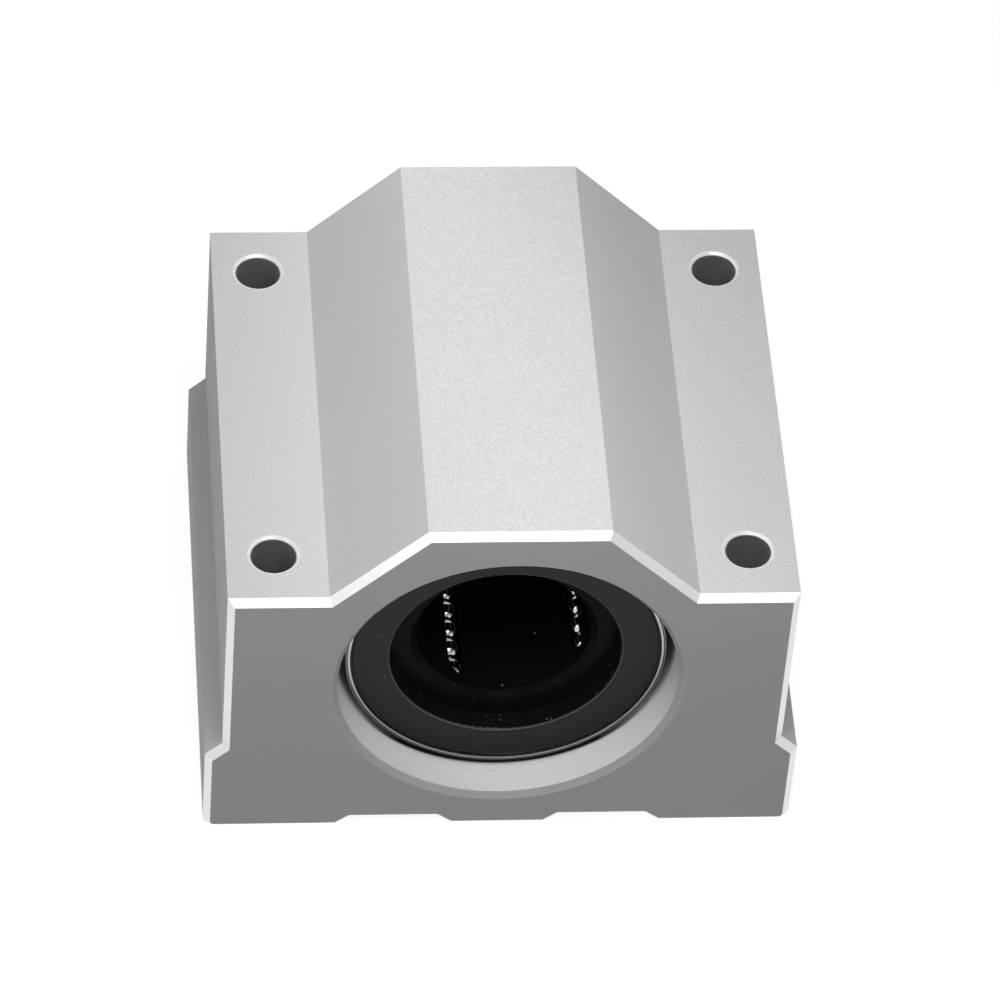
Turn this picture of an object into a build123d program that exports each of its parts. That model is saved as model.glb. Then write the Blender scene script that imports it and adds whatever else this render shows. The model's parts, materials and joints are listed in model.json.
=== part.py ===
from build123d import *
import os
from math import acos, asin, cos, degrees, floor, pi, radians, sin, sqrt

# Linear bearing block: an aluminium pillow block that carries a recirculating ball bearing.
# X is the block's width, Y runs along the shaft with the front face at -Y, and Z is up.
# The origin is the middle of the foot, and every size is in millimetres.

# Housing block, a drawn bar cut to length
base_width = 42.0
block_length = 36.5
ridge_height = 30.5
shoulder_height = 24.0
bore_height = 15.2
body_width = 39.6
flange_height = 7.6
ridge_width = 12.6
foot_radius = 0.8
channel_centre = 7.45
channel_width = 8.0
channel_depth = 0.8
channel_slope = 1.0
end_bevel = 0.5

# Mounting holes, drilled right through and tapped from the foot
hole_pitch_x = 33.0
hole_pitch_y = 27.5
drill_diameter = 3.2
screw_diameter = 4.0
tapped_depth = 12.0
hole_bevel = 0.15

# Ball circuits: two straight runs joined by a half turn at each end
shaft_diameter = 12.0
ball_diameter = 1.75
circuit_count = 4
circuit_angle = 60.0
turn_radius = 1.7
straight_length = 21.45

# Steel sleeve, with raceway lands inside and snap ring grooves outside
sleeve_diameter = 22.8
sleeve_wall = 1.8
sleeve_rim = 0.45
sleeve_bevel = 0.15
land_angle = 20.0
land_setback = 0.4
groove_setback = 5.3
groove_width = 1.3
groove_depth = 0.5

# Cage, end rings and snap rings
cage_end_wall = 0.35
cage_bevel = 0.4
ring_width = 2.8
ring_thickness = 1.6
ring_setback = 0.1
ring_lip = 0.25
snap_stand = 0.35
snap_gap = 6.0
snap_corner = 0.3
counterbore_bevel = 0.4

# Clearances between pieces
cage_clearance = 0.2
seat_clearance = 0.02
race_clearance = 0.02
pocket_clearance = 0.05
ring_clearance = 0.01
cage_play = 0.1
snap_clearance = 0.02
snap_play = 0.05
counterbore_clearance = 0.2
ball_gap = 0.02

# Radii and places that follow from the sizes above
half_length = block_length / 2
shaft_radius = shaft_diameter / 2
ball_radius = ball_diameter / 2
sleeve_radius = sleeve_diameter / 2
relief_radius = sleeve_radius - sleeve_wall
rim_radius = sleeve_radius - sleeve_rim
groove_radius = sleeve_radius - groove_depth
snap_radius = sleeve_radius + snap_stand
counterbore_radius = snap_radius + counterbore_clearance
load_radius = shaft_radius + ball_radius
land_radius = load_radius + ball_radius + race_clearance
land_length = straight_length - 2 * land_setback
pocket_radius = ball_radius + pocket_clearance
cage_radius = relief_radius - pocket_clearance
return_radius = relief_radius - pocket_radius
half_cage = straight_length / 2 + turn_radius + pocket_radius + cage_end_wall
ring_from = half_cage + cage_play
half_bearing = ring_from + ring_thickness + ring_setback
seat_length = 2 * (half_bearing - groove_setback)
chord = 2 * turn_radius
return_angle = degrees(
    acos((load_radius**2 + return_radius**2 - chord**2) / (2 * load_radius * return_radius))
)


def block_outline():
    """Half of the block's end view, from the middle of the foot round to the middle of the ridge."""
    half_base = base_width / 2
    half_body = body_width / 2
    half_ridge = ridge_width / 2
    inner_mouth = channel_centre - channel_width / 2
    outer_mouth = channel_centre + channel_width / 2
    slope_run = ridge_height - shoulder_height
    line = Polyline(
        (0, 0),
        (inner_mouth, 0),
        (inner_mouth + channel_slope, channel_depth),
        (outer_mouth - channel_slope, channel_depth),
        (outer_mouth, 0),
        (half_base, 0),
        (half_base, flange_height),
        (half_body, flange_height + half_base - half_body),
        (half_body, shoulder_height),
        (half_ridge + slope_run, shoulder_height),
        (half_ridge, ridge_height),
        (0, ridge_height),
        close=True,
    )
    half = make_face(Plane.XZ * line)
    foot_corner = half.vertices().sort_by_distance((half_base, 0, 0))[0]
    return fillet(foot_corner, foot_radius)


def mounting_hole():
    """Cutter for one hole: drilled through, tapped to a depth from the foot, broken at both mouths."""
    drill = drill_diameter / 2
    thread = screw_diameter / 2
    top = shoulder_height
    line = Polyline(
        (0, 0),
        (thread + hole_bevel, 0),
        (thread, hole_bevel),
        (thread, tapped_depth),
        (drill, tapped_depth + thread - drill),
        (drill, top - hole_bevel),
        (drill + hole_bevel, top),
        (0, top),
        close=True,
    )
    return revolve(make_face(Plane.XZ * line), axis=Axis.Z)


def bore_cutter():
    """Cutter for the bearing's seat, with a counterbore and a broken edge at each face."""
    seat = sleeve_radius + seat_clearance
    mouth = counterbore_radius + counterbore_bevel
    half_seat = seat_length / 2
    line = Polyline(
        (0, -half_length),
        (mouth, -half_length),
        (counterbore_radius, -half_length + counterbore_bevel),
        (counterbore_radius, -half_seat),
        (seat, -half_seat),
        (seat, half_seat),
        (counterbore_radius, half_seat),
        (counterbore_radius, half_length - counterbore_bevel),
        (mouth, half_length),
        (0, half_length),
        close=True,
    )
    return on_shaft(revolve(make_face(line), axis=Axis.Y))


def on_shaft(piece):
    """Moves a piece made round the Y axis up to the shaft's height."""
    return Pos(0, 0, bore_height) * piece


def housing_block():
    """The block: its outline drawn out along Y, with bevelled ends, four holes and the bore."""
    half = extrude(block_outline(), amount=half_length, both=True)
    block = half + mirror(half, about=Plane.YZ)
    ends = block.faces().sort_by(Axis.Y)
    block = chamfer(ends[0].edges() + ends[-1].edges(), end_bevel)
    holes = GridLocations(hole_pitch_x, hole_pitch_y, 2, 2)
    block -= [place * mounting_hole() for place in holes]
    return block - bore_cutter()


def sector(inner, outer, angle, length):
    """A slice of a tube round the Y axis, centred on -Z, with the angle that it covers."""
    reach = 2 * outer
    half = radians(angle / 2)
    wedge = make_face(
        Plane.XZ
        * Polyline(
            (0, 0),
            (-reach * sin(half), -reach * cos(half)),
            (reach * sin(half), -reach * cos(half)),
            close=True,
        )
    )
    band = Plane.XZ * (Circle(outer) - Circle(inner))
    return extrude(band & wedge, amount=length / 2, both=True)


def at_circuits(piece):
    """Copies of a piece made at -Z, one at each ball circuit of the bearing."""
    step = 360 / circuit_count
    return [Rot(0, -circuit_angle - step * k, 0) * piece for k in range(circuit_count)]


def outer_sleeve():
    """The steel sleeve, with two snap ring grooves outside and a raceway land inside for each circuit."""
    groove_from = seat_length / 2
    groove_to = groove_from + groove_width
    rear = [
        (relief_radius, ring_from),
        (rim_radius, ring_from),
        (rim_radius, half_bearing),
        (sleeve_radius - sleeve_bevel, half_bearing),
        (sleeve_radius, half_bearing - sleeve_bevel),
        (sleeve_radius, groove_to),
        (groove_radius, groove_to),
        (groove_radius, groove_from),
        (sleeve_radius, groove_from),
    ]
    front = [(r, -y) for r, y in reversed(rear)]
    tube = revolve(make_face(Polyline(rear + front, close=True)), axis=Axis.Y)
    root = (relief_radius + groove_radius) / 2
    land = sector(land_radius, root, land_angle, land_length)
    return on_shaft(tube + at_circuits(land))


def circuit_plane():
    """The plane of one ball circuit: its local x runs from the loaded row to the return row."""
    turn = radians(return_angle)
    loaded = Vector(0, 0, -load_radius)
    back = Vector(return_radius * sin(turn), 0, -return_radius * cos(turn))
    across = (back - loaded).normalized()
    return Plane((loaded + back) / 2, x_dir=across, z_dir=across.cross(Vector(0, 1, 0)))


def circuit_channel():
    """Cutter for one closed track: two straight runs joined by two half rings."""
    run = Rot(90, 0, 0) * Cylinder(pocket_radius, straight_length)
    bend = revolve(Plane.XZ * Pos(turn_radius, 0) * Circle(pocket_radius), Axis.Z, 180)
    front = Rot(0, 0, 180) * Pos(0, straight_length / 2, 0) * bend
    rear = Pos(0, straight_length / 2, 0) * bend
    runs = Pos(-turn_radius, 0, 0) * run + Pos(turn_radius, 0, 0) * run
    return circuit_plane() * (runs + front + rear)


def ball_cage():
    """The moulded cage: a thick tube with a slot for each land and a closed track for each circuit."""
    bore = shaft_radius + cage_clearance
    line = Polyline(
        (bore + cage_bevel, -half_cage),
        (cage_radius, -half_cage),
        (cage_radius, half_cage),
        (bore + cage_bevel, half_cage),
        (bore, half_cage - cage_bevel),
        (bore, -half_cage + cage_bevel),
        close=True,
    )
    tube = revolve(make_face(line), axis=Axis.Y)
    floor_radius = land_radius - pocket_clearance
    slot_angle = land_angle + 2 * degrees(pocket_clearance / land_radius)
    slot = sector(floor_radius, relief_radius, slot_angle, land_length + 2 * pocket_clearance)
    return on_shaft(tube - at_circuits(slot) - at_circuits(circuit_channel()))


def end_ring():
    """The ring that closes the rear end of the sleeve: a flat ring with a rounded lip."""
    outer = rim_radius - ring_clearance
    ring = Cylinder(outer, ring_thickness) - Cylinder(outer - ring_width, ring_thickness)
    shown = ring.faces().sort_by(Axis.Z)[-1]
    ring = fillet(shown.edges(), ring_lip)
    return Pos(0, ring_from + ring_thickness / 2, 0) * Rot(-90, 0, 0) * ring


def snap_ring():
    """The rear snap ring: a flat open ring in the sleeve's groove."""
    opening = Pos(0, snap_radius) * Rectangle(snap_gap, snap_radius)
    flat = Circle(snap_radius) - Circle(groove_radius + snap_clearance) - opening
    flat = fillet(flat.vertices(), snap_corner)
    ring = extrude(flat, amount=groove_width / 2 - snap_play, both=True)
    return Pos(0, (seat_length + groove_width) / 2, 0) * Rot(-90, 0, 0) * ring


def to_front(piece):
    """The same piece at the front end, turned end for end."""
    return Rot(0, 0, 180) * piece


def ball_places():
    """Centres of the balls of one circuit in its plane, by row."""
    pitch = ball_diameter + ball_gap
    half_run = straight_length / 2
    step = 2 * asin(pitch / chord)
    beside = floor(pi / 2 / step)
    angles = [k * step for k in range(-beside, beside + 1)]
    rear = [(turn_radius * sin(a), half_run + turn_radius * cos(a)) for a in angles]
    side = turn_radius + rear[0][0]
    last = rear[0][1] - sqrt(pitch**2 - side**2)
    in_row = 1 + floor(2 * last / pitch)
    row = [last * (2 * k / (in_row - 1) - 1) for k in range(in_row)]
    return {
        "loaded_balls": [(-turn_radius, y) for y in row],
        "return_balls": [(turn_radius, y) for y in row],
        "rear_turn_balls": rear,
        "front_turn_balls": [(x, -y) for x, y in rear],
    }


def ball_groups():
    """Every row and turn of balls, by name and circuit."""
    groups = {}
    plane = circuit_plane()
    for name, places in ball_places().items():
        balls = [plane * Pos(x, y, 0) * Sphere(ball_radius) for x, y in places]
        for k, turned in enumerate(zip(*[at_circuits(ball) for ball in balls])):
            groups[f"{name}_{k + 1}"] = Compound([on_shaft(ball).solid() for ball in turned])
    return groups


def main():
    os.makedirs("parts", exist_ok=True)
    pieces = {
        "housing_block": housing_block(),
        "outer_sleeve": outer_sleeve(),
        "ball_cage": ball_cage(),
        "end_ring_front": on_shaft(to_front(end_ring())),
        "end_ring_rear": on_shaft(end_ring()),
        "snap_ring_front": on_shaft(to_front(snap_ring())),
        "snap_ring_rear": on_shaft(snap_ring()),
    }
    pieces.update(ball_groups())
    for name, piece in pieces.items():
        export_step(piece, f"parts/{name}.step")


main()
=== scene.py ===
"""Looks of a linear bearing block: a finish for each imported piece, cut threads, stage and camera.

Sizes are in metres, in the part's own frame: X is the block's width, Y runs along the shaft with
the front face at -Y, and Z is up from the middle of the foot.
"""

import json
import math
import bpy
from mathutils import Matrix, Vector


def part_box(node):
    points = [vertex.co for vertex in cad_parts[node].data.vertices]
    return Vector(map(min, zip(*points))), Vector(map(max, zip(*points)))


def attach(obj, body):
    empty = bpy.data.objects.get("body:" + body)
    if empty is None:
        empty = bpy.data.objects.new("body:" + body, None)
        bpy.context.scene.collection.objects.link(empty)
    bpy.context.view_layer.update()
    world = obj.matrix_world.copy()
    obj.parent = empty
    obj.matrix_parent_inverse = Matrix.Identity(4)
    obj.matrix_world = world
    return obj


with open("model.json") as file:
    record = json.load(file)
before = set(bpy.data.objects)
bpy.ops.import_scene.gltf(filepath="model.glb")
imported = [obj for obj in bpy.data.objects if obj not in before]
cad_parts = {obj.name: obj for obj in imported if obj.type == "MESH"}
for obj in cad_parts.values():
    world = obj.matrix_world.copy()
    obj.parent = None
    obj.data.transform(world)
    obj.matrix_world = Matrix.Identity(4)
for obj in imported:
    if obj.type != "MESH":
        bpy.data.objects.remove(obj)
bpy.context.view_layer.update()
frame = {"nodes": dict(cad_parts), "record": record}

from types import SimpleNamespace

import bpy
import numpy as np
from bpy.props import FloatProperty, FloatVectorProperty, IntProperty, PointerProperty
from mathutils import Matrix, Vector

bl_info = {
    "name": "Linear bearing block",
    "version": (1, 0, 0),
    "blender": (4, 5, 0),
    "location": "3D View > Sidebar > Bearing block",
    "description": "Finishes, cut threads, stage and camera for a linear bearing block",
    "category": "Object",
}

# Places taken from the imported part

MM = 0.001
MOUNTS = {mount["name"]: mount for mount in frame["record"]["mounts"]}
AXIS_HEIGHT = MOUNTS["shaft_bore"]["pos_m"][2]
SCREWS = MOUNTS["foot_screws"]["dims"]
HOLE_X = SCREWS["spacing_x_mm"] * MM / 2
HOLE_Y = SCREWS["spacing_y_mm"] * MM / 2
THREAD_ROOT = SCREWS["hole_r_mm"] * MM
THREAD_CREST = MOUNTS["top_screws"]["dims"]["hole_r_mm"] * MM
SHOULDER_HEIGHT = MOUNTS["top_screws"]["pos_m"][2]
BLOCK_HALF_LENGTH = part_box("housing_block")[1].y
SLEEVE_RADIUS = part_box("outer_sleeve")[1].x
SLEEVE_HALF_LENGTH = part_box("outer_sleeve")[1].y
BALL_NODES = [name for name in frame["nodes"] if "_balls_" in name]

# Where one finish ends and the next begins

HAIR = 0.02 * MM  # blur between two finishes
SQUARE = 0.96  # part of a normal along an axis from which a face is square to that axis
SLOPED = 0.4  # the same part from which a face slopes towards that axis
FACING_BLUR = 0.02
MOUTH_BEVEL_DEPTH = 0.6 * MM
# Painted shade: low in the bore, the deep gap round the sleeve is painted near black for the shadow
# that the sleeve casts there.
PAINTED_SHADE_TOP = 0.72  # drop below the axis down to which the gap stays light, in sleeve radii
PAINTED_SHADE_FADE = 0.25  # height over which it darkens, in sleeve radii
PAINTED_SHADE_BLUR = 0.15 * MM
DULL_START = 0.75  # inside of the sleeve's dull edge, as a share of the roll line's place
# From here out to the sleeve's outside, painted shadow of the gap round the sleeve.
DULL_END_SHADE_START = 0.45  # outside of the dull edge, as the same share

# Metal and roughness of the housing's surfaces

SKIN = {"Metallic": 0.1, "Roughness": 0.6}
MILLED = {"Metallic": 0.06, "Roughness": 0.5}
BORED = {"Metallic": 0.0, "Roughness": 0.45}
DRILLED = {"Metallic": 0.9, "Roughness": 0.35}
RIM = {"Metallic": 0.2}
BRIGHT = {"Metallic": 1.0, "Roughness": 0.24}
HOUSING_GLOSS = 0.15

# Patterns: how far each lightens and darkens its tone, then their sizes and heights

LEVEL_SWING = 0.3
SLOPE_SWING = 0.07
CLOUD_SWING = 0.012
MILLED_SWING = 0.02
BORED_SWING = 0.05
METAL_SWING = 0.06
BALL_SWING = 0.03
MOULD_SWING = 0.25
CLOUD_GRAINS = 60  # size of a cloud in grains
CUTTER_DROP = 0.09  # from the foot down to the middle of the end mill's arcs
ARC_WIDTH = 0.25 * MM
BORED_PITCH = 0.14 * MM
LINE_WANDER = 0.6  # pitches that a turned line wanders in a radian
LINE_DEPTH = 0.001 * MM
ARC_HEIGHT = 0.3  # height of the arcs in grain depths
BORED_HEIGHT = 0.4  # height of the bore's lines in grain depths
BEVEL_HEIGHT = 0.5  # even height of the smooth bevels in grain depths

# Sheen of steel, mouldings and threads

SLEEVE_ROUGH = 0.3
OXIDE_ROUGH = 0.42
STEEL_ROUGH_SWING = 0.06
BALL_HAZE = 0.3 * MM
BALL_ROUGH = (0.08, 0.13)
MOULD_GRAIN = 0.35 * MM
MOULD_GRAIN_DEPTH = 0.004 * MM
MOULD_ROUGH_SWING = 0.04
DUST_ROUGH = 0.8
DUST_RARITY = 0.55
SPECK_BLUR = 0.01
# Rounded lips, where the end rings get a painted highlight:
LIP = (0.45, 0.1)  # least part of the normal along the axis on a rounded lip, and its blur
LIP_TOP = (0.86, 0.06)  # greatest part, and its blur
CAGE = {"rough": 0.3, "gloss": 0.03, "dust_cell": 1.6 * MM, "dust_spot": 0.06}
END_RING = {"rough": 0.38, "gloss": 0.2, "dust_cell": 0.6 * MM, "dust_spot": 0.13}
THREAD_LINES = 0.1 * MM
THREAD_ROUGH = (0.25, 0.4)

# Profile of the thread, in pitches and turns

THREAD_HALF_ROOT = 0.43
THREAD_HALF_CREST = 0.06
THREAD_RUNOUT = 0.5  # turns over which the thread shrinks at each end
THREAD_END = 0.02  # share of its full size that is left at the very end

# Stage

LAMPS = {
    "strip": {"place": (-0.0012, 0.006, 0.055), "width": 0.01, "depth": 0.112},
    "key": {"place": (0.0, -0.057, 0.145), "width": 0.07, "depth": 0.06},
    "left": {"place": (-0.14, -0.1, 0.09), "width": 0.06, "depth": 0.06},
}
FRONT_LAMP_WIDTH = 0.18
FRONT_LAMP_REACH = 1.25  # distance from the target in camera distances
BACKDROP_TOP = math.radians(12)  # up to here the backdrop is white
CEILING_START = math.radians(35)  # from here on up it is as dim as the ceiling
WHITE = (1.0, 1.0, 1.0)
FLOOR_CORNERS = 96
SENSOR_WIDTH = 36.0
CLIP_START = 0.01


# Sizes and colours that a user would change


def length(name, description, default, low=0.0, high=10.0):
    """A length in metres with the same limits for the slider and the value."""
    return FloatProperty(
        name=name,
        description=description,
        default=default,
        min=low,
        max=high,
        precision=5,
        subtype="DISTANCE",
        unit="LENGTH",
    )


def colour(name, description, default):
    """A linear colour."""
    return FloatVectorProperty(
        name=name,
        description=description,
        default=default,
        size=3,
        min=0.0,
        max=1.0,
        subtype="COLOR",
    )


def share(name, description, default, high=1.0):
    """A plain factor from nothing up to its limit."""
    return FloatProperty(
        name=name, description=description, default=default, min=0.0, max=high, subtype="FACTOR"
    )


def angle(name, description, default):
    """An angle, given here in degrees."""
    return FloatProperty(
        name=name, description=description, default=math.radians(default), subtype="ANGLE"
    )


class HousingLook(bpy.types.PropertyGroup):
    """Finishes of the aluminium housing"""

    blasted: colour("Blasted skin", "Bead blasted and clear anodised bar", (0.70, 0.70, 0.705))
    # Partly painted shade: the end faces are darker partly for their milled finish and partly for
    # the shade that falls on upright faces.
    milled_and_shaded: colour("Milled ends", "Sawn and milled end faces", (0.50, 0.50, 0.515))
    bored: colour("Bored surfaces", "Turned seat and counterbores", (0.84, 0.84, 0.845))
    mouth_bevel: colour("Mouth bevel", "Bevel round the mouth of the bore", (0.52, 0.52, 0.53))
    bright: colour("Bright bevels", "Bevels cut after anodising", (0.7, 0.7, 0.705))
    rim_tone: colour("Hole rims", "Bevels at the tops of the holes", (0.97, 0.97, 0.97))
    # Painted shade: near black tone laid in the deep gap round the sleeve, where its shadow falls.
    gap: colour("Gap", "Oiled depth of the gap round the sleeve", (0.006, 0.006, 0.006))
    drilled: colour("Drilled holes", "Walls of the mounting holes", (0.68, 0.68, 0.68))
    lean: share("Feed marks", "How far the turned marks lean towards the mouth", 0.8)
    grain: length("Grain", "Size of the blasted grain", 0.00016)
    grain_depth: length("Grain depth", "Height of the blasted grain", 0.000006)
    bevel: length("End bevel", "Width of the bevel round both ends", 0.0005)
    mouth: length("Bore mouth", "Radius of the bevelled mouth of the bore", 0.01236)
    # The painted shade in the gap starts this far behind the sleeve's end.
    painted_shade_depth: length("Gap depth", "Depth behind the sleeve's end where the gap is dark", 0.0003)
    rim: length("Hole rim", "Depth of the bright bevel at the top of each hole", 0.00025)
    burr: length("Hole burr", "Width of the bright ring round the top of a hole", 0.00021)


class BearingLook(bpy.types.PropertyGroup):
    """Finishes of the bearing's pieces"""

    steel: colour("Sleeve steel", "Ground bearing steel", (0.45, 0.45, 0.46))
    # Painted shade: this tone also covers the sleeve's outer edge, for the shadow in the gap round
    # it.
    roll: colour("Roll line", "Dark line and edge round the sleeve's end", (0.02, 0.02, 0.02))
    dull: colour("Dull edge", "Outer part of the sleeve's end", (0.2, 0.2, 0.205))
    ball: colour("Ball steel", "Lapped bearing steel", (0.58, 0.58, 0.585))
    cage: colour("Cage plastic", "Black moulding", (0.0065, 0.0078, 0.0074))
    ring: colour("End ring rubber", "Satin black moulding", (0.0065, 0.0065, 0.0065))
    # Painted highlight: the lighter tone on the rounded lips stands for light caught along them.
    edge: colour("End ring lips", "Rubbed lips of the end rings", (0.08, 0.08, 0.08))
    oxide: colour("Snap ring oxide", "Blackened spring steel", (0.06, 0.06, 0.062))
    dust: colour("Dust", "Small pale specks on the black mouldings", (0.35, 0.35, 0.35))
    turning: length("Turning lines", "Distance between turning lines", 0.00012)
    roll_line: length("Roll line place", "From the sleeve's outside to its roll line", 0.0003)


class ThreadSizes(bpy.types.PropertyGroup):
    """Threads cut into the four holes from the foot"""

    cut: colour("Cut metal", "Fresh cut aluminium of the threads", (0.7, 0.7, 0.71))
    pitch: length("Pitch", "Rise of one turn", 0.0007)
    lead_in: length("Lead in", "Plain depth before the first full turn", 0.0004)
    depth: length("Depth", "Height above the foot where the thread runs out", 0.0118)
    bite: length("Bite", "How far the root sits in the wall", 0.00002)
    steps: IntProperty(name="Steps", description="Steps in one turn", default=36, min=12, max=90)


class StageLook(bpy.types.PropertyGroup):
    """Floor, lamps and camera"""

    floor_radius: length("Floor radius", "Radius of the round floor", 4.0)
    floor: colour("Floor", "Pale matt floor", (0.28, 0.28, 0.28))
    paper: share("Paper level", "How much paler the floor looks than it lights", 0.9, 2.0)
    backdrop: share("Backdrop level", "Level of the white backdrop as it is seen", 1.0, 2.0)
    ceiling: share("Ceiling level", "Level of the dim ceiling above the backdrop", 0.25, 2.0)
    ambient: share("Ambient", "Level at which the backdrop lights the part", 0.10, 2.0)
    strip: share("Strip lamp", "Level of the narrow lamp over the ridge", 1.82, 20.0)
    key: share("Key lamp", "Level of the square lamp high in front", 7.6, 20.0)
    left: share("Left lamp", "Level of the soft lamp on the left", 2.75, 20.0)
    front: share("Front lamp", "Level of the small lamp beside the camera", 3.0, 20.0)
    azimuth: angle("Azimuth", "Turn of the camera about the vertical", -7.20)
    elevation: angle("Elevation", "Height of the camera over the horizon", 47.06)
    roll: angle("Roll", "Turn of the camera about its line of sight", 4.75)
    distance: length("Distance", "From the camera to its target", 0.460)
    field: length("Field", "Width of the view at the target", 0.07176)
    target: FloatVectorProperty(
        name="Target",
        description="Point in the middle of the view",
        default=(0.00062, 0.0, 0.01445),
        size=3,
        subtype="XYZ",
        unit="LENGTH",
    )


# Shader building


def rgba(tone):
    """A colour for a socket that takes four numbers; an output passes as it is."""
    return tone if isinstance(tone, bpy.types.NodeSocket) else (*tone, 1.0)


class Shader:
    """A node tree under construction: each method adds shader nodes and returns an output."""

    def __init__(self, tree):
        self.tree = tree

    def give(self, socket, value):
        """Links an output to a socket, or writes a plain value on it."""
        if isinstance(value, bpy.types.NodeSocket):
            self.tree.links.new(value, socket)
        else:
            socket.default_value = value

    def add(self, kind, inputs, output=0, **settings):
        """Adds a node of a kind, fills its inputs and returns one of its outputs."""
        node = self.tree.nodes.new("ShaderNode" + kind)
        for setting, value in settings.items():
            setattr(node, setting, value)
        for key, value in inputs.items():
            self.give(node.inputs[key], value)
        return node.outputs[output]

    def calc(self, operation, first, second=0.0):
        """The result of an operation on one or two numbers."""
        return self.add("Math", {0: first, 1: second}, operation=operation)

    def parts(self, vector):
        """The three parts of a vector."""
        return tuple(self.add("SeparateXYZ", {0: vector}).node.outputs)

    def seen_directly(self):
        """One for rays from the camera, a reflection or glass, nothing for light that spreads."""
        result = self.add("LightPath", {}, "Is Camera Ray")
        path = result.node.outputs
        for other in ("Is Glossy Ray", "Is Transmission Ray"):
            result = self.calc("MAXIMUM", result, path[other])
        return result


class Finish(Shader):
    """A material under construction, built up in coats on its own Principled shader."""

    def __init__(self, name):
        self.material = bpy.data.materials.new(name)
        self.material.use_nodes = True
        super().__init__(self.material.node_tree)
        self.surface = self.tree.nodes["Principled BSDF"]
        self.position = self.add("TexCoord", {}, "Object")
        self.facing = self.position.node.outputs["Normal"]
        self.coats = {}

    def surface_is(self, **values):
        """Fills the shader's own sockets, named with underscores for spaces."""
        for name, value in values.items():
            self.give(self.surface.inputs[name.replace("_", " ")], value)

    def ground(self, tone, **sheen):
        """The coat that all others are laid over."""
        self.coats = {"Base_Color": tone, **sheen}

    def lay(self, mask, tone, **sheen):
        """Lays a tone, and the sheen that is named, over the coats so far by a mask."""
        self.coats["Base_Color"] = self.tint(mask, self.coats["Base_Color"], tone)
        for name, value in sheen.items():
            self.coats[name] = self.number(mask, self.coats[name], value)

    def vector(self, x, y, z):
        """A vector from its three parts."""
        return self.add("CombineXYZ", {0: x, 1: y, 2: z})

    def radius(self, first, second):
        """Root of the sum of two squares."""
        flat = self.vector(first, second, 0.0)
        return self.add("VectorMath", {0: flat}, "Value", operation="LENGTH")

    def from_axis(self):
        """Distance from the bore's axis."""
        x, y, z = self.parts(self.position)
        return self.radius(x, self.calc("SUBTRACT", z, AXIS_HEIGHT))

    def above(self, value, limit, blur):
        """One where the value is over the limit, nothing under it."""
        ends = {"Value": value, "From Min": limit - blur / 2, "From Max": limit + blur / 2}
        return self.add("MapRange", ends)

    def below(self, value, limit, blur):
        """One where the value is under the limit, nothing over it."""
        return self.opposite(self.above(value, limit, blur))

    def opposite(self, mask):
        """Where a mask is not."""
        return self.calc("SUBTRACT", 1.0, mask)

    def both(self, *masks):
        """Where all masks meet."""
        result = masks[0]
        for mask in masks[1:]:
            result = self.calc("MULTIPLY", result, mask)
        return result

    def number(self, mask, under, over):
        """One number laid over another by a mask."""
        return self.add("Mix", {0: mask, 2: under, 3: over}, data_type="FLOAT")

    def tint(self, mask, under, over):
        """One colour laid over another by a mask."""
        return self.add("Mix", {0: mask, 6: rgba(under), 7: rgba(over)}, 2, data_type="RGBA")

    def shade(self, base, factor):
        """A colour made lighter or darker by a factor."""
        return self.add("VectorMath", {0: base, "Scale": factor}, 0, operation="SCALE")

    def noise(self, vector, size, detail=2.0, rough=0.5):
        """Soft noise with spots of about one size."""
        inputs = {"Vector": vector, "Scale": 1 / size, "Detail": detail, "Roughness": rough}
        return self.add("TexNoise", inputs, "Fac")

    def around(self, value, swing):
        """Noise turned into a factor that swings about one."""
        ends = {"Value": value, "To Min": 1 - swing, "To Max": 1 + swing}
        return self.add("MapRange", ends, clamp=False)

    def bump(self, height, distance):
        """A normal tilted by a height that reaches a distance."""
        return self.add("Bump", {"Height": height, "Distance": distance, "Strength": 1.0})

    def specks(self, size, spot, rarity):
        """Small round spots scattered in cells of a size, with most of the cells left bare."""
        cells = {"Vector": self.position, "Scale": 1 / size}
        distance = self.add("TexVoronoi", cells, "Distance")
        chance = distance.node.outputs["Color"]
        drawn = self.below(distance, spot, spot / 2)
        return self.both(drawn, self.above(chance, rarity, SPECK_BLUR))

    def lathe_lines(self, pitch):
        """Noise drawn out round the bore's axis, as a turning tool leaves it."""
        x, y, z = self.parts(self.position)
        sweep = self.calc("ARCTAN2", x, self.calc("SUBTRACT", z, AXIS_HEIGHT))
        wander = self.calc("MULTIPLY", sweep, pitch * LINE_WANDER)
        return self.noise(self.vector(self.from_axis(), y, wander), pitch, detail=3.0)


def dress(names, material):
    """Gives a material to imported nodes, whose meshes stay as they are."""
    for name in names:
        for slot in frame["nodes"][name].material_slots:
            slot.material = material


# Finishes


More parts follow.
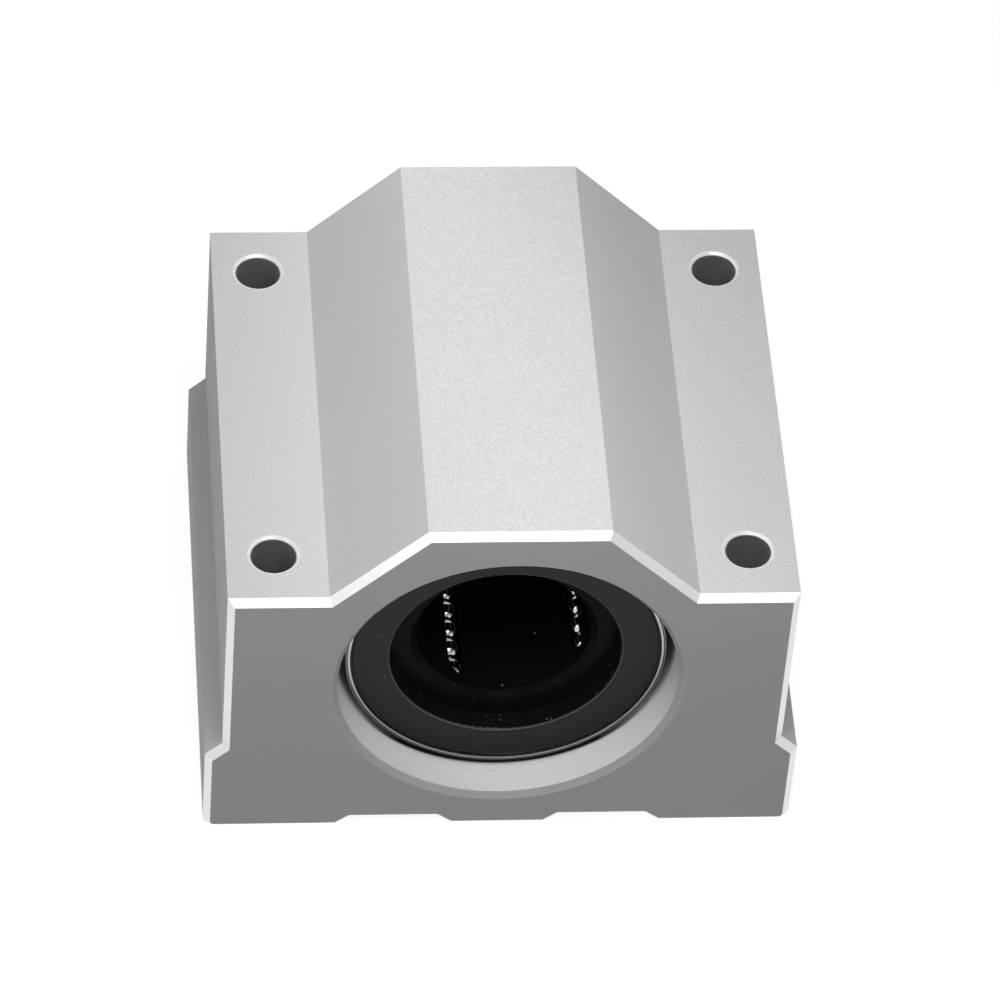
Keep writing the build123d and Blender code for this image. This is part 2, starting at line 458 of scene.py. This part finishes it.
def housing_places(finish, look):
    """Masks of the housing's surfaces, from a point's place and the way its face looks."""
    x, y, z = finish.parts(finish.position)
    along = finish.calc("ABSOLUTE", y)
    facing_y, facing_z = finish.parts(finish.facing)[1:]
    end_facing = finish.calc("ABSOLUTE", facing_y)
    square_end = finish.above(end_facing, SQUARE, FACING_BLUR)
    sloped = finish.both(
        finish.above(end_facing, SLOPED, FACING_BLUR),
        finish.below(end_facing, SQUARE, FACING_BLUR),
    )

    in_bore = finish.below(finish.from_axis(), look.mouth, HAIR)
    outside = finish.opposite(in_bore)
    mouth_bevel_start = BLOCK_HALF_LENGTH - MOUTH_BEVEL_DEPTH
    # The painted shade in the gap: deeper than the sleeve's end and low in the bore.
    painted_shade_start = SLEEVE_HALF_LENGTH - look.painted_shade_depth
    low = finish.below(z, AXIS_HEIGHT - PAINTED_SHADE_TOP * SLEEVE_RADIUS, PAINTED_SHADE_FADE * SLEEVE_RADIUS)
    near_end = finish.above(along, BLOCK_HALF_LENGTH - look.bevel - HAIR, HAIR)

    level_top = finish.above(facing_z, SQUARE, FACING_BLUR)
    from_hole = finish.radius(
        finish.calc("SUBTRACT", finish.calc("ABSOLUTE", x), HOLE_X),
        finish.calc("SUBTRACT", along, HOLE_Y),
    )
    near_hole = finish.below(from_hole, THREAD_ROOT + look.rim + HAIR, HAIR)
    in_hole = finish.both(near_hole, finish.opposite(level_top))
    bevelled = finish.both(in_hole, finish.above(z, SHOULDER_HEIGHT - look.rim, HAIR))
    burr = finish.both(level_top, finish.below(from_hole, THREAD_CREST + look.burr, HAIR))
    return SimpleNamespace(
        level_top=level_top,
        flat_end=finish.both(square_end, outside),
        in_bore=in_bore,
        mouth_bevel=finish.both(in_bore, sloped, finish.above(along, mouth_bevel_start, HAIR)),
        # Painted shade: the shadow in the deep gap round the sleeve.
        gap=finish.both(in_bore, finish.below(along, painted_shade_start, PAINTED_SHADE_BLUR), low),
        in_hole=in_hole,
        rim=finish.calc("MAXIMUM", bevelled, burr),
        end_bevel=finish.both(sloped, near_end, outside),
    )


def housing_finish(look):
    """Blasted skin, milled ends darkened partly by painted shade, turned bore with painted shade in
    the gap round the sleeve, drilled holes and bright cut bevels on one block.
    """
    finish = Finish("block_aluminium_finish")
    at = housing_places(finish, look)
    x, y, z = finish.parts(finish.position)

    grain = finish.noise(finish.position, look.grain, detail=3.0, rough=0.6)
    cloud = finish.noise(finish.position, CLOUD_GRAINS * look.grain)
    cutter_path = finish.radius(x, finish.calc("ADD", z, CUTTER_DROP))
    arcs = finish.noise(finish.vector(cutter_path, y, 0.0), ARC_WIDTH)
    turned = finish.lathe_lines(BORED_PITCH)

    sloping = finish.around(grain, SLOPE_SWING)
    level = finish.around(grain, LEVEL_SWING)
    skin = finish.shade(look.blasted, finish.number(at.level_top, sloping, level))
    skin = finish.shade(skin, finish.around(cloud, CLOUD_SWING))
    # Milled ends, darkened partly by painted shade.
    milled_and_shaded = finish.shade(look.milled_and_shaded, finish.around(arcs, MILLED_SWING))
    bored = finish.shade(look.bored, finish.around(turned, BORED_SWING))
    drilled = finish.shade(look.drilled, finish.around(grain, METAL_SWING))

    finish.ground(skin, **SKIN)
    # End faces, their tone partly painted shade.
    finish.lay(at.flat_end, milled_and_shaded, **MILLED)
    finish.lay(at.in_bore, bored, **BORED)
    finish.lay(at.mouth_bevel, look.mouth_bevel)
    # Painted shade in the deep gap round the sleeve.
    finish.lay(at.gap, look.gap)
    finish.lay(at.in_hole, drilled, **DRILLED)
    finish.lay(at.rim, look.rim_tone, **RIM)
    finish.lay(at.end_bevel, look.bright, **BRIGHT)

    relief = finish.number(at.flat_end, grain, finish.calc("MULTIPLY", arcs, ARC_HEIGHT))
    relief = finish.number(at.in_bore, relief, finish.calc("MULTIPLY", turned, BORED_HEIGHT))
    relief = finish.number(at.end_bevel, relief, BEVEL_HEIGHT)
    bumped = finish.bump(relief, look.grain_depth)
    outwards = finish.calc("MULTIPLY", finish.calc("SIGN", y), look.lean)
    lean = finish.vector(0.0, finish.calc("MULTIPLY", outwards, at.in_bore), 0.0)
    leaning = finish.add("VectorMath", {0: bumped, 1: lean}, operation="ADD")
    finish.surface_is(
        **finish.coats,
        Specular_IOR_Level=HOUSING_GLOSS,
        Normal=finish.add("VectorMath", {0: leaning}, operation="NORMALIZE"),
    )
    return finish.material


def turned_steel(finish, tone, look, rough):
    """Gives a finish the sheen of steel, with fine lines that run round the bore."""
    lines = finish.lathe_lines(look.turning)
    roughness = finish.number(lines, rough - STEEL_ROUGH_SWING, rough + STEEL_ROUGH_SWING)
    finish.surface_is(
        Base_Color=finish.shade(tone, finish.around(lines, METAL_SWING)),
        Metallic=1.0,
        Roughness=roughness,
        Normal=finish.bump(lines, LINE_DEPTH),
    )
    return finish.material


def sleeve_finish(look):
    """Ground sleeve whose end shows a light inner line, a dark roll line, a dull band and a painted
    shadow at its outer edge.
    """
    finish = Finish("sleeve_steel_finish")
    from_axis = finish.from_axis()
    tone = look.steel
    # The last dark band, out to the sleeve's outside, is painted shadow of the gap round the
    # sleeve.
    for start, over in ((1.0, look.roll), (DULL_START, look.dull), (DULL_END_SHADE_START, look.roll)):
        ring = finish.above(from_axis, SLEEVE_RADIUS - start * look.roll_line, HAIR)
        tone = finish.tint(ring, tone, over)
    return turned_steel(finish, tone, look, SLEEVE_ROUGH)


def black_moulding(name, base, edge, look, rough, gloss, dust_cell, dust_spot):
    """Black moulding with a faint uneven skin, a second tone on rounded lips that paints a
    highlight there, and a little dust.
    """
    finish = Finish(name)
    end_facing = finish.calc("ABSOLUTE", finish.parts(finish.facing)[1])
    painted_lip_highlight = finish.both(finish.above(end_facing, *LIP), finish.below(end_facing, *LIP_TOP))
    skin = finish.noise(finish.position, MOULD_GRAIN, detail=3.0)
    dust = finish.specks(dust_cell, dust_spot, DUST_RARITY)
    tone = finish.shade(base, finish.around(skin, MOULD_SWING))
    # Painted highlight on the rounded lips.
    tone = finish.tint(painted_lip_highlight, tone, edge)
    clean = finish.number(skin, rough - MOULD_ROUGH_SWING, rough + MOULD_ROUGH_SWING)
    finish.surface_is(
        Base_Color=finish.tint(dust, tone, look.dust),
        Roughness=finish.number(dust, clean, DUST_ROUGH),
        Specular_IOR_Level=gloss,
        Normal=finish.bump(skin, MOULD_GRAIN_DEPTH),
    )
    return finish.material


def ball_finish(name, look):
    """Lapped steel balls, almost a mirror."""
    finish = Finish(name)
    haze = finish.noise(finish.position, BALL_HAZE, detail=3.0)
    finish.surface_is(
        Base_Color=finish.shade(look.ball, finish.around(haze, BALL_SWING)),
        Metallic=1.0,
        Roughness=finish.number(haze, *BALL_ROUGH),
    )
    return finish


def true_spheres(finish, node):
    """Normals of true spheres for a straight row of balls, which stand evenly along Y.

    The row's own box gives the balls' diameter, their pitch and the line of their centres. Each
    point's normal runs to it from the nearest centre.
    """
    corners = np.array(node.bound_box)
    low = corners.min(axis=0).tolist()
    high = corners.max(axis=0).tolist()
    diameter = high[0] - low[0]
    run = high[1] - low[1] - diameter
    pitch = run / int(run / diameter)
    x, y, z = finish.parts(finish.position)
    place = finish.calc("DIVIDE", finish.calc("SUBTRACT", y, low[1] + diameter / 2), pitch)
    from_centre = finish.calc("SUBTRACT", place, finish.calc("ROUND", place))
    outwards = finish.vector(
        finish.calc("SUBTRACT", x, (low[0] + high[0]) / 2),
        finish.calc("MULTIPLY", from_centre, pitch),
        finish.calc("SUBTRACT", z, (low[2] + high[2]) / 2),
    )
    normal = finish.add(
        "VectorTransform", {0: outwards}, vector_type="NORMAL", convert_from="OBJECT"
    )
    finish.surface_is(Normal=normal)


def thread_finish(sizes):
    """Fresh cut aluminium with fine tool marks."""
    finish = Finish("thread_finish")
    lines = finish.noise(finish.position, THREAD_LINES, detail=3.0)
    finish.surface_is(
        Base_Color=finish.shade(sizes.cut, finish.around(lines, METAL_SWING)),
        Metallic=1.0,
        Roughness=finish.number(lines, *THREAD_ROUGH),
    )
    return finish.material


# New pieces


def thread_ridge(centre_x, centre_y, sizes):
    """Vertices and faces of one thread, a triangle with a flat crest carried up a helix.

    At turn t the middle of the profile is at the angle 2 pi t and the height lead in + pitch * t.
    The profile runs out from the crest radius to just behind the hole's wall. It shrinks to
    nearly nothing over the first and last half turn, and each end is closed by one face.
    """
    turns = (sizes.depth - sizes.lead_in) / sizes.pitch
    count = int(turns * sizes.steps) + 1
    turn = np.linspace(0.0, turns, count)
    from_end = np.minimum(turn, turns - turn)
    fullness = np.clip(from_end / THREAD_RUNOUT, THREAD_END, 1.0)
    root = np.full(count, THREAD_ROOT + sizes.bite)
    crest = THREAD_ROOT - (THREAD_ROOT - THREAD_CREST) * fullness
    half_root = THREAD_HALF_ROOT * sizes.pitch * fullness
    half_crest = THREAD_HALF_CREST * sizes.pitch * fullness
    radii = np.stack([root, crest, crest, root], axis=1)
    rises = np.stack([-half_root, -half_crest, half_crest, half_root], axis=1)
    sweep = 2 * np.pi * turn[:, None]
    points = np.stack(
        [
            centre_x + radii * np.cos(sweep),
            centre_y + radii * np.sin(sweep),
            sizes.lead_in + sizes.pitch * turn[:, None] + rises,
        ],
        axis=2,
    )
    corners = points.shape[1]
    row = np.arange(count - 1)[:, None] * corners
    corner = np.arange(corners)[None, :]
    following = (corner + 1) % corners
    quads = np.stack(
        [row + corner, row + corners + corner, row + corners + following, row + following], axis=2
    )
    faces = quads.reshape(-1, 4).tolist()
    faces.append(list(range(corners)))
    faces.append(list(range(count * corners - 1, (count - 1) * corners - 1, -1)))
    return points.reshape(-1, 3), faces


def floor_disc(radius):
    """Vertices and the one face of a flat round floor: even steps of angle at one radius."""
    sweep = np.linspace(0.0, 2 * np.pi, FLOOR_CORNERS, endpoint=False)
    rim = np.stack([np.cos(sweep), np.sin(sweep), np.zeros(FLOOR_CORNERS)], axis=1)
    return rim * radius, [list(range(FLOOR_CORNERS))]


def new_piece(name, parts, material):
    """One object from a list of vertex and face lists, whose faces keep the order they are given
    in.
    """
    points = []
    faces = []
    start = 0
    for vertices, part_faces in parts:
        points.append(vertices)
        faces += [[start + index for index in face] for face in part_faces]
        start += len(vertices)
    mesh = bpy.data.meshes.new(name)
    mesh.from_pydata(np.concatenate(points).tolist(), [], faces)
    mesh.update()
    if mesh.validate():
        raise RuntimeError(f"{name} has faces that are not valid")
    mesh.materials.append(material)
    piece = bpy.data.objects.new(name, mesh)
    bpy.context.scene.collection.objects.link(piece)
    return piece


# Stage


def floor_finish(look):
    """A matt floor that looks as pale as paper and keeps its shadow."""
    material = bpy.data.materials.new("paper_floor")
    material.use_nodes = True
    tree = material.node_tree
    tree.nodes.remove(tree.nodes["Principled BSDF"])
    shader = Shader(tree)
    matt = shader.add("BsdfDiffuse", {"Color": rgba(look.floor)})
    level = shader.calc("MULTIPLY", shader.seen_directly(), look.paper)
    glow = shader.add("Emission", {"Strength": level})
    both = shader.add("AddShader", {0: matt, 1: glow})
    shader.give(tree.nodes["Material Output"].inputs["Surface"], both)
    return material


def white_world(look):
    """A backdrop that is seen as white and lights the part at its own lower level."""
    world = bpy.data.worlds.new("white_backdrop")
    world.use_nodes = True
    shader = Shader(world.node_tree)
    sky = shader.add("TexCoord", {}, "Object")
    fade = {
        "Value": shader.parts(sky)[2],
        "From Min": math.sin(BACKDROP_TOP),
        "From Max": math.sin(CEILING_START),
        "To Min": look.backdrop,
        "To Max": look.ceiling,
    }
    seen = shader.add("MapRange", fade)
    levels = {"Value": shader.seen_directly(), "To Min": look.ambient, "To Max": seen}
    background = world.node_tree.nodes["Background"].inputs
    shader.give(background["Strength"], shader.add("MapRange", levels))
    shader.give(background["Color"], rgba(WHITE))
    bpy.context.scene.world = world


def soft_lamp(name, place, aim, width, depth, level, round_lamp=False):
    """An area lamp that shines from its place towards its aim at a level where one is white."""
    data = bpy.data.lights.new(name, "AREA")
    data.shape = "ELLIPSE" if round_lamp else "RECTANGLE"
    data.size = width
    data.size_y = depth
    area = width * depth * (math.pi / 4 if round_lamp else 1.0)
    data.energy = level * math.pi * area
    lamp = bpy.data.objects.new(name, data)
    bpy.context.scene.collection.objects.link(lamp)
    turn = (Vector(aim) - Vector(place)).to_track_quat("-Z", "Y").to_matrix()
    lamp.matrix_world = Matrix.Translation(place) @ turn.to_4x4()
    lamp.visible_camera = False


def camera_axes(look):
    """Right, up and backward axes of the camera from its azimuth, elevation and roll."""
    back = Vector(
        (
            math.sin(look.azimuth) * math.cos(look.elevation),
            -math.cos(look.azimuth) * math.cos(look.elevation),
            math.sin(look.elevation),
        )
    )
    level = Vector((math.cos(look.azimuth), math.sin(look.azimuth), 0.0))
    upright = back.cross(level)
    right = math.cos(look.roll) * level + math.sin(look.roll) * upright
    up = math.cos(look.roll) * upright - math.sin(look.roll) * level
    return right, up, back


def hang_lamps(look):
    """Three lamps round the bearing's middle and one that mirrors the camera left for right."""
    middle = (0.0, 0.0, AXIS_HEIGHT)
    for name, lamp in LAMPS.items():
        soft_lamp(name + "_lamp", aim=middle, level=getattr(look, name), **lamp)
    back = camera_axes(look)[2]
    mirrored = Vector((-back.x, back.y, back.z))
    place = Vector(look.target) + FRONT_LAMP_REACH * look.distance * mirrored
    width = FRONT_LAMP_WIDTH
    soft_lamp("front_lamp", place, look.target, width, width, look.front, round_lamp=True)


def photo_camera(look):
    """A long lens camera on its target at the photograph's angle."""
    right, up, back = camera_axes(look)
    data = bpy.data.cameras.new("camera")
    data.sensor_width = SENSOR_WIDTH
    data.lens = data.sensor_width * look.distance / look.field
    data.clip_start = CLIP_START
    camera = bpy.data.objects.new("camera", data)
    bpy.context.scene.collection.objects.link(camera)
    place = Vector(look.target) + look.distance * back
    turn = Matrix((right, up, back)).transposed()
    camera.matrix_world = Matrix.Translation(place) @ turn.to_4x4()
    bpy.context.scene.camera = camera


# Operators


class BLOCK_OT_finish_housing(bpy.types.Operator):
    """Give the aluminium housing its blasted, milled, bored and bright cut finishes, with painted
    shade on the end faces and in the gap round the sleeve
    """

    bl_idname = "bearing_block.finish_housing"
    bl_label = "Finish housing"

    def execute(self, context):
        dress(["housing_block"], housing_finish(context.scene.housing_look))
        return {"FINISHED"}


class BLOCK_OT_finish_steel(bpy.types.Operator):
    """Give the sleeve and the snap rings their turned steel"""

    bl_idname = "bearing_block.finish_steel"
    bl_label = "Finish sleeve and snap rings"

    def execute(self, context):
        look = context.scene.bearing_look
        dress(["outer_sleeve"], sleeve_finish(look))
        oxide = turned_steel(Finish("spring_steel_finish"), look.oxide, look, OXIDE_ROUGH)
        dress(["snap_ring_front", "snap_ring_rear"], oxide)
        return {"FINISHED"}


class BLOCK_OT_finish_mouldings(bpy.types.Operator):
    """Give the cage and the end rings their black mouldings"""

    bl_idname = "bearing_block.finish_mouldings"
    bl_label = "Finish cage and end rings"

    def execute(self, context):
        look = context.scene.bearing_look
        cage = black_moulding("cage_plastic_finish", look.cage, look.cage, look, **CAGE)
        dress(["ball_cage"], cage)
        # The end rings' lips get a painted highlight.
        ring = black_moulding("end_ring_rubber_finish", look.ring, look.edge, look, **END_RING)
        dress(["end_ring_front", "end_ring_rear"], ring)
        return {"FINISHED"}


class BLOCK_OT_finish_balls(bpy.types.Operator):
    """Give all balls their lapped steel"""

    bl_idname = "bearing_block.finish_balls"
    bl_label = "Finish balls"

    def execute(self, context):
        look = context.scene.bearing_look
        dress(BALL_NODES, ball_finish("ball_steel_finish", look).material)
        for name in BALL_NODES:
            if name.startswith("loaded_balls"):
                row = ball_finish(name + "_finish", look)
                true_spheres(row, frame["nodes"][name])
                dress([name], row.material)
        return {"FINISHED"}


class BLOCK_OT_cut_threads(bpy.types.Operator):
    """Cut the threads of the four mounting holes"""

    bl_idname = "bearing_block.cut_threads"
    bl_label = "Cut threads"

    def execute(self, context):
        sizes = context.scene.thread_sizes
        centres = [(x, y) for x in (-HOLE_X, HOLE_X) for y in (-HOLE_Y, HOLE_Y)]
        ridges = [thread_ridge(x, y, sizes) for x, y in centres]
        threads = new_piece("tapped_threads", ridges, thread_finish(sizes))
        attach(threads, "housing")
        return {"FINISHED"}


class BLOCK_OT_set_stage(bpy.types.Operator):
    """Lay the floor, hang the lamps and place the camera"""

    bl_idname = "bearing_block.set_stage"
    bl_label = "Set stage"

    def execute(self, context):
        look = context.scene.stage_look
        floor = new_piece("floor", [floor_disc(look.floor_radius)], floor_finish(look))
        white_world(look)
        hang_lamps(look)
        photo_camera(look)
        context.scene.view_settings.view_transform = "Standard"
        return {"FINISHED"}


# Panel and registration

LOOKS = {
    "housing_look": HousingLook,
    "bearing_look": BearingLook,
    "thread_sizes": ThreadSizes,
    "stage_look": StageLook,
}

OPERATORS = (
    BLOCK_OT_set_stage,
    BLOCK_OT_finish_housing,
    BLOCK_OT_finish_steel,
    BLOCK_OT_finish_mouldings,
    BLOCK_OT_finish_balls,
    BLOCK_OT_cut_threads,
)


class BLOCK_PT_panel(bpy.types.Panel):
    """Lists the looks, the sizes and the steps that make them"""

    bl_label = "Bearing block"
    bl_idname = "BLOCK_PT_panel"
    bl_space_type = "VIEW_3D"
    bl_region_type = "UI"
    bl_category = "Bearing block"

    def draw(self, context):
        for key, group in LOOKS.items():
            look = getattr(context.scene, key)
            box = self.layout.box()
            for name in group.__annotations__:
                box.prop(look, name)
        for operator in OPERATORS:
            self.layout.operator(operator.bl_idname)


def register():
    """Registers the classes and hangs each group of values on the scene."""
    for group in LOOKS.values():
        bpy.utils.register_class(group)
    for operator in OPERATORS:
        bpy.utils.register_class(operator)
    bpy.utils.register_class(BLOCK_PT_panel)
    for key, group in LOOKS.items():
        setattr(bpy.types.Scene, key, PointerProperty(type=group))


def unregister():
    """Takes away what register has added, in the opposite order."""
    for key in LOOKS:
        delattr(bpy.types.Scene, key)
    bpy.utils.unregister_class(BLOCK_PT_panel)
    for operator in reversed(OPERATORS):
        bpy.utils.unregister_class(operator)
    for group in reversed(LOOKS.values()):
        bpy.utils.unregister_class(group)


def main():
    """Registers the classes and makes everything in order."""
    register()
    bpy.ops.bearing_block.set_stage()
    bpy.ops.bearing_block.finish_housing()
    bpy.ops.bearing_block.finish_steel()
    bpy.ops.bearing_block.finish_mouldings()
    bpy.ops.bearing_block.finish_balls()
    bpy.ops.bearing_block.cut_threads()


if __name__ == "__main__":
    main()
